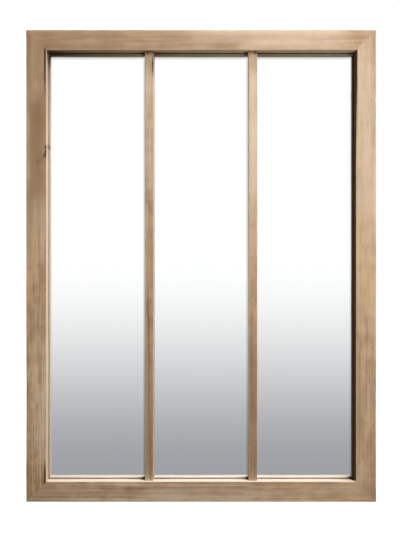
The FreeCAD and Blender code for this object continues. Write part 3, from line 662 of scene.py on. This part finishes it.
class MIRROR_OT_glazing_bars(PieceOperator):
    """Two slim upright bars with eased front edges and stub tenons"""

    bl_idname = "window_mirror.glazing_bars"
    bl_label = "Glazing bars"

    # As for the members, with places across from the middle of the bar. The far values are those of its left side,
    # and they paint light onto that dim side.
    marks = {
        "left": {
            "tones": (-0.75, -0.2, 0.45), "figure": (1.1, 1.2, 1.0), "grey": (0.6, 0.3, 0.2),
            # The far values paint light onto the bar's dim left side.
            "pale": (0.25, 0.6, 0.6), "far_side_painted_light": (-0.5, 1.0, 0.8), "far_side_painted_pale": (0, 0.6, 0),
            # Painted shadows: a wedge at the right edge near the top, and the top of the face under the top rail.
            "knots_seams_and_painted_shadows": [
                ((-BAR_MIDDLE + BAR_HALF - 2.2 * MM, -0.0280, 0.512), 1.8 * MM, 1.1, 18.0),
                ((-BAR_MIDDLE - 6 * MM, -0.0280, OPENING[1]), 8 * MM, 1.0, 0.6),
                ((-BAR_MIDDLE + 6 * MM, -0.0280, OPENING[1]), 8 * MM, 1.0, 0.6)],
            # The wide streak from 0.50 to 0.60 darkens the top end: painted shade under the top rail.
            "streaks": [
                (-9 * MM, 3 * MM, 0.47, 0.56, -0.5), (3 * MM, 2 * MM, -0.55, -0.40, -0.5),
                (-5 * MM, 2 * MM, -0.30, -0.10, -0.1), (0, 20 * MM, 0.50, 0.60, -0.85),
                (0, 20 * MM, -0.60, -0.542, 1.2)]},
        "right": {
            "tones": (-0.8, 0.0, 0.8), "figure": (0.4, 0.7, 1.0), "grey": (0.8, 0.2, 0.1),
            # The far values paint light onto the bar's dim left side.
            "pale": (0.5, 0.6, 0.7), "far_side_painted_light": (-0.9, 1.0, 0.5), "far_side_painted_pale": (0, 0.8, 0),
            # Painted shadows at the top of the face, under the top rail.
            "knots_seams_and_painted_shadows": [
                ((BAR_MIDDLE - 6 * MM, -0.0280, OPENING[1]), 8 * MM, 0.9, 0.6),
                ((BAR_MIDDLE + 6 * MM, -0.0280, OPENING[1]), 8 * MM, 0.9, 0.6)],
            # The wide streak from 0.50 to 0.60 darkens the top end: painted shade under the top rail.
            "streaks": [
                (-4 * MM, 2 * MM, -0.30, -0.02, -0.35), (6 * MM, 2 * MM, -0.10, 0.20, -0.25),
                (0, 8 * MM, 0.42, 0.48, 0.2), (0, 20 * MM, 0.18, 0.37, 0.4), (0, 20 * MM, -0.40, -0.19, -0.3),
                (0, 20 * MM, 0.50, 0.60, -0.8), (0, 20 * MM, -0.60, -0.542, 1.0)]},
    }

    def execute(self, context):
        sizes = self.sizes
        wood = bpy.data.materials["weathered_pine"]
        front = BAR_LOW[1]
        corners = [(-BAR_HALF, LEDGE), (-BAR_HALF, front), (BAR_HALF, front), (BAR_HALF, LEDGE)]
        rounding = [LEDGE_EDGE, sizes.bar_arris, sizes.bar_arris, LEDGE_EDGE]
        profile = along_edges(corners, rounding, BAR_PITCH)
        end = BAR_HIGH[2]
        shoulder = end - sizes.tenon
        body = np.linspace(-shoulder, shoulder, BAR_STATIONS)
        lengths = np.concatenate(([-end, -shoulder], body, [shoulder, end]))
        thin = np.zeros(len(lengths))
        thin[[0, 1, -2, -1]] = 1.0
        middle, thick = (front + LEDGE) / 2, LEDGE - front
        cheek, shoulders = sizes.tenon_cheek / BAR_HALF, 2 * sizes.tenon_shoulder / thick
        for number, side in enumerate(("left", "right")):
            low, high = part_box("mullion_" + side)
            centre = (low[0] + high[0]) / 2

            def place(stations, across, depth, centre=centre):
                x = across * (1 - cheek * thin[:, None])
                y = middle + (depth - middle) * (1 - shoulders * thin[:, None])
                along = stations + 0 * across
                return np.stack((centre + x, y, along), -1), along, (shoulder - np.abs(along)).clip(0)

            name, seed = "mullion_" + side, SEED + 60 + 10 * number
            piece = wood_piece(name + "_wood", profile, lengths, place, seed, sizes, wood, self.marks[side])
            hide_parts(name)
        return {"FINISHED"}


class MIRROR_OT_glazing(PieceOperator):
    """The mirror sheet, its bedding tape, setting blocks and cushion"""

    bl_idname = "window_mirror.glazing"
    bl_label = "Mirror and bedding"

    def execute(self, context):
        colours = self.colours
        dress(["mirror_glass"], silvering("mirror_silver", colours))
        black = tuple(colours.rubber)
        tapes = [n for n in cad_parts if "_tape_" in n]
        dress(tapes, foam("bedding_tape_foam", black, tuple(2.5 * c for c in black)))
        dress(["cushion_sheet"], foam("cushion_foam", tuple(colours.cushion), tuple(colours.cushion_cells)))
        dress([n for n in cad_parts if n.startswith("setting_block")], rubber("block_rubber", black))
        dress(["mitre_biscuits"], beech("pressed_beech", tuple(colours.beech)))
        return {"FINISHED"}


class MIRROR_OT_back(PieceOperator):
    """The hardboard back and the rubber bumpers"""

    bl_idname = "window_mirror.back"
    bl_label = "Back and bumpers"

    def execute(self, context):
        dress(["back_panel"], hardboard("brown_hardboard", tuple(self.colours.hardboard)))
        bumpers = [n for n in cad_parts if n.startswith("bumper")]
        dress(bumpers, rubber("bumper_rubber", tuple(self.colours.rubber)))
        return {"FINISHED"}


def cross_reach(angles, arm, half):
    """From the middle to the edge of a plus-shaped recess: the arm's end over the cosine, or its side over the sine,
    of the angle from the nearest arm, whichever is nearer."""
    turn = np.abs((angles + np.pi / 4) % (np.pi / 2) - np.pi / 4)
    return np.minimum(arm / np.cos(turn), half / np.sin(turn).clip(1e-3))


def screw_group(name, places, radius, shank, under, rise, length, finish):
    """Screws with cross recesses, points towards the front. Each is a stack of rings about its axis: down the recess,
    over the head, which falls by the rise as the square of the radius, and along the shank to its point."""
    angles = np.linspace(0, 2 * np.pi, SCREW_SIDES + 1)[:-1]
    recess = cross_reach(angles, 0.56 * radius, 0.15 * radius)
    flat = np.ones_like(angles)
    top = under[0]
    rings = [(0.55 * recess, top - 0.42 * radius), (recess, None), (1.08 * recess, None), (0.78 * radius * flat, None),
             (0.95 * radius * flat, None), (radius * flat, top - rise - 0.03 * radius), (radius * flat, under[1]),
             (shank * flat, under[2]), (shank * flat, top - 0.8 * length), (0.1 * shank * flat, top - length)]
    reach = np.stack([ring for ring, _ in rings])
    level = np.stack([top - rise * (ring / radius) ** 2 if at is None else at * flat for ring, at in rings])
    level[1] -= 0.05 * radius
    turned = angles + np.random.default_rng(SEED).uniform(0, np.pi / 2, len(places))[:, None, None]
    points = np.stack((reach * np.cos(turned), level + 0 * turned, reach * np.sin(turned)), -1)
    points = points + np.array(places)[:, None, None]
    faces = tube_faces(len(rings), len(angles), len(places))
    piece = make_piece(name + "_dressed", points, faces, finish)
    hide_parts(name)


class MIRROR_OT_hardware(PieceOperator):
    """Hangers, screws with cross recesses, and angle nails"""

    bl_idname = "window_mirror.hardware"
    bl_label = "Hangers and screws"

    def execute(self, context):
        sizes = self.sizes
        plated = zinc("zinc_plate", tuple(self.colours.zinc))
        dress([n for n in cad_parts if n.startswith("hanger_") or n.startswith("corner_")], plated)
        self.panel_screws(sizes.panel_screw_head / 2, plated)
        self.hanger_screws(sizes.hanger_screw_head / 2, plated)
        return {"FINISHED"}

    def panel_screws(self, radius, plated):
        low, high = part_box("back_panel_screws")
        edges = np.array((high[0], high[2])) - radius
        x_run, z_run = (np.linspace(-1, 1, count) * (edge - PANEL_SCREW_END)
                        for edge, count in zip(edges, PANEL_SCREWS))
        places = [(x, 0, side * edges[1]) for side in (-1, 1) for x in x_run]
        places += [(side * edges[0], 0, z) for side in (-1, 1) for z in z_run]
        under = high[1], high[1] - 0.04 * radius, high[1] - radius / 2
        screw_group("back_panel_screws", places, radius, radius / 2, under, 0.0, high[1] - low[1], plated)

    def hanger_screws(self, radius, plated):
        low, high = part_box("hanger_screws")
        places = [(side * (high[0] - radius), 0, z) for side in (-1, 1) for z in (low[2] + radius, high[2] - radius)]
        bottom, shank, rise = high[1] - 2.2 * MM, 2 * MM, 1.4 * MM
        under = high[1], bottom, bottom
        screw_group("hanger_screws", places, radius, shank, under, rise, high[1] - low[1], plated)


class MIRROR_OT_stage(PieceOperator):
    """Pale floor, white surround, soft lights and the camera"""

    bl_idname = "window_mirror.stage"
    bl_label = "Stage"

    image_size = (400, 533)
    pixel = 2.5405 * MM
    object_centre = (201.16, 265.90)
    distance = 1.50
    eye = (0.010, -0.006)

    def execute(self, context):
        self.floor()
        self.surround()
        self.lights()
        self.camera()
        context.scene.view_settings.view_transform = "Standard"
        return {"FINISHED"}

    def floor(self):
        f = new_finish("pale_floor")
        drift = f.noise(f.stretched(f.place(), 1.5, 1.5, 1.5), 2.0)
        tone = f.mix(drift, (0.55, 0.55, 0.55), (0.60, 0.60, 0.60))
        f.surface({"Base Color": tone, "Roughness": 0.9, "Emission Color": (1, 1, 1, 1), "Emission Strength": 0.9})
        angles = np.linspace(0, 2 * np.pi, FLOOR_SIDES + 1)[:-1]
        level = np.full(FLOOR_SIDES, LOW[2] - FLOOR_GAP)
        rim = np.stack((FLOOR_RADIUS * np.cos(angles), FLOOR_RADIUS * np.sin(angles), level), -1)
        mesh = bpy.data.meshes.new("floor")
        mesh.from_pydata(rim, [], [list(range(FLOOR_SIDES))])
        mesh.materials.append(f.owner)
        floor = bpy.data.objects.new("floor", mesh)
        bpy.context.scene.collection.objects.link(floor)
        floor.visible_diffuse = floor.visible_glossy = False

    def surround(self):
        """White to the camera. The mirror sees white down to the horizon, then a smooth fall to grey. What lights the
        object after a diffuse bounce is dim in front and stronger behind."""
        world = bpy.data.worlds.new("surround")
        bpy.context.scene.world = world
        f = Finish(world)
        x, y, z = f.parts(f.node("ShaderNodeTexCoord", output="Generated"))
        path = f.node("ShaderNodeLightPath").socket.node
        bounced = Signal(f, path.outputs["Diffuse Depth"]).smooth(0.0, 1.0)
        seen = Signal(f, path.outputs["Is Camera Ray"])
        fall = (0 - z) / y.size().at_least(0.05)
        reflected = f.mix(fall.smooth(-0.031, 0.351) * (1 - seen), (1.06, 1.06, 1.06), (0.361, 0.373, 0.392))
        behind = f.mix(y.smooth(-0.1, 0.5), (0.10, 0.095, 0.088), (0.75, 0.75, 0.75))
        colour = f.mix(bounced, reflected, behind)
        background = f.node("ShaderNodeBackground", sockets={"Color": colour, "Strength": 1.0})
        f.node("ShaderNodeOutputWorld", sockets={"Surface": background})

    def lights(self):
        """A large soft box high on the right, a weak warm one low on the right and a weak one on the left."""
        boxes = {"soft_box_high": ((1.7, -1.15, 3.0), 2.1, 208.0, (1.0, 1.0, 1.04)),
                 "soft_box_left": ((-2.0, -0.45, 0.1), 0.8, 24.0, (1.0, 1.0, 1.0)),
                 "soft_box_low": ((1.8, -1.6, -0.5), 0.8, 26.0, (1.0, 0.90, 0.76))}
        for name, (place, size, power, colour) in boxes.items():
            light = bpy.data.lights.new(name, "AREA")
            light.shape, light.size, light.energy, light.color = "DISK", size, power, colour
            made = bpy.data.objects.new(name, light)
            bpy.context.scene.collection.objects.link(made)
            made.location = place
            made.visible_glossy = False
            made.rotation_euler = (-Vector(place)).to_track_quat("-Z", "Y").to_euler()

    def camera(self):
        data = bpy.data.cameras.new("camera")
        made = bpy.data.objects.new("camera", data)
        bpy.context.scene.collection.objects.link(made)
        across, down = ((at - size / 2) * self.pixel for at, size in zip(self.object_centre, self.image_size))
        tall = self.image_size[1] * self.pixel
        made.location = (self.eye[0], FRONT - self.distance, self.eye[1])
        made.rotation_euler = (math.pi / 2, 0, 0)
        data.lens = data.sensor_width * self.distance / tall
        data.shift_x, data.shift_y = (-across - self.eye[0]) / tall, (down - self.eye[1]) / tall
        bpy.context.scene.camera = made


class MIRROR_PT_panel(bpy.types.Panel):
    """Lists the steps in order"""

    bl_idname = "MIRROR_PT_panel"
    bl_label = "Window mirror"
    bl_space_type = "VIEW_3D"
    bl_region_type = "UI"
    bl_category = "Window mirror"

    def draw(self, context):
        for operator in STEPS:
            self.layout.operator(operator.bl_idname)
        for group in (context.scene.window_mirror_sizes, context.scene.window_mirror_colours):
            for name in group.__annotations__:
                self.layout.prop(group, name)


STEPS = (MIRROR_OT_frame_members, MIRROR_OT_glazing_bars, MIRROR_OT_glazing, MIRROR_OT_back, MIRROR_OT_hardware,
         MIRROR_OT_stage)
CLASSES = (FrameSizes, FrameColours, *STEPS, MIRROR_PT_panel)


def register():
    for item in CLASSES:
        bpy.utils.register_class(item)
    bpy.types.Scene.window_mirror_sizes = bpy.props.PointerProperty(type=FrameSizes)
    bpy.types.Scene.window_mirror_colours = bpy.props.PointerProperty(type=FrameColours)


def unregister():
    del bpy.types.Scene.window_mirror_colours, bpy.types.Scene.window_mirror_sizes
    for item in reversed(CLASSES):
        bpy.utils.unregister_class(item)


def main():
    register()
    for operator in STEPS:
        group, name = operator.bl_idname.split(".")
        getattr(getattr(bpy.ops, group), name)()


if __name__ == "__main__":
    main()
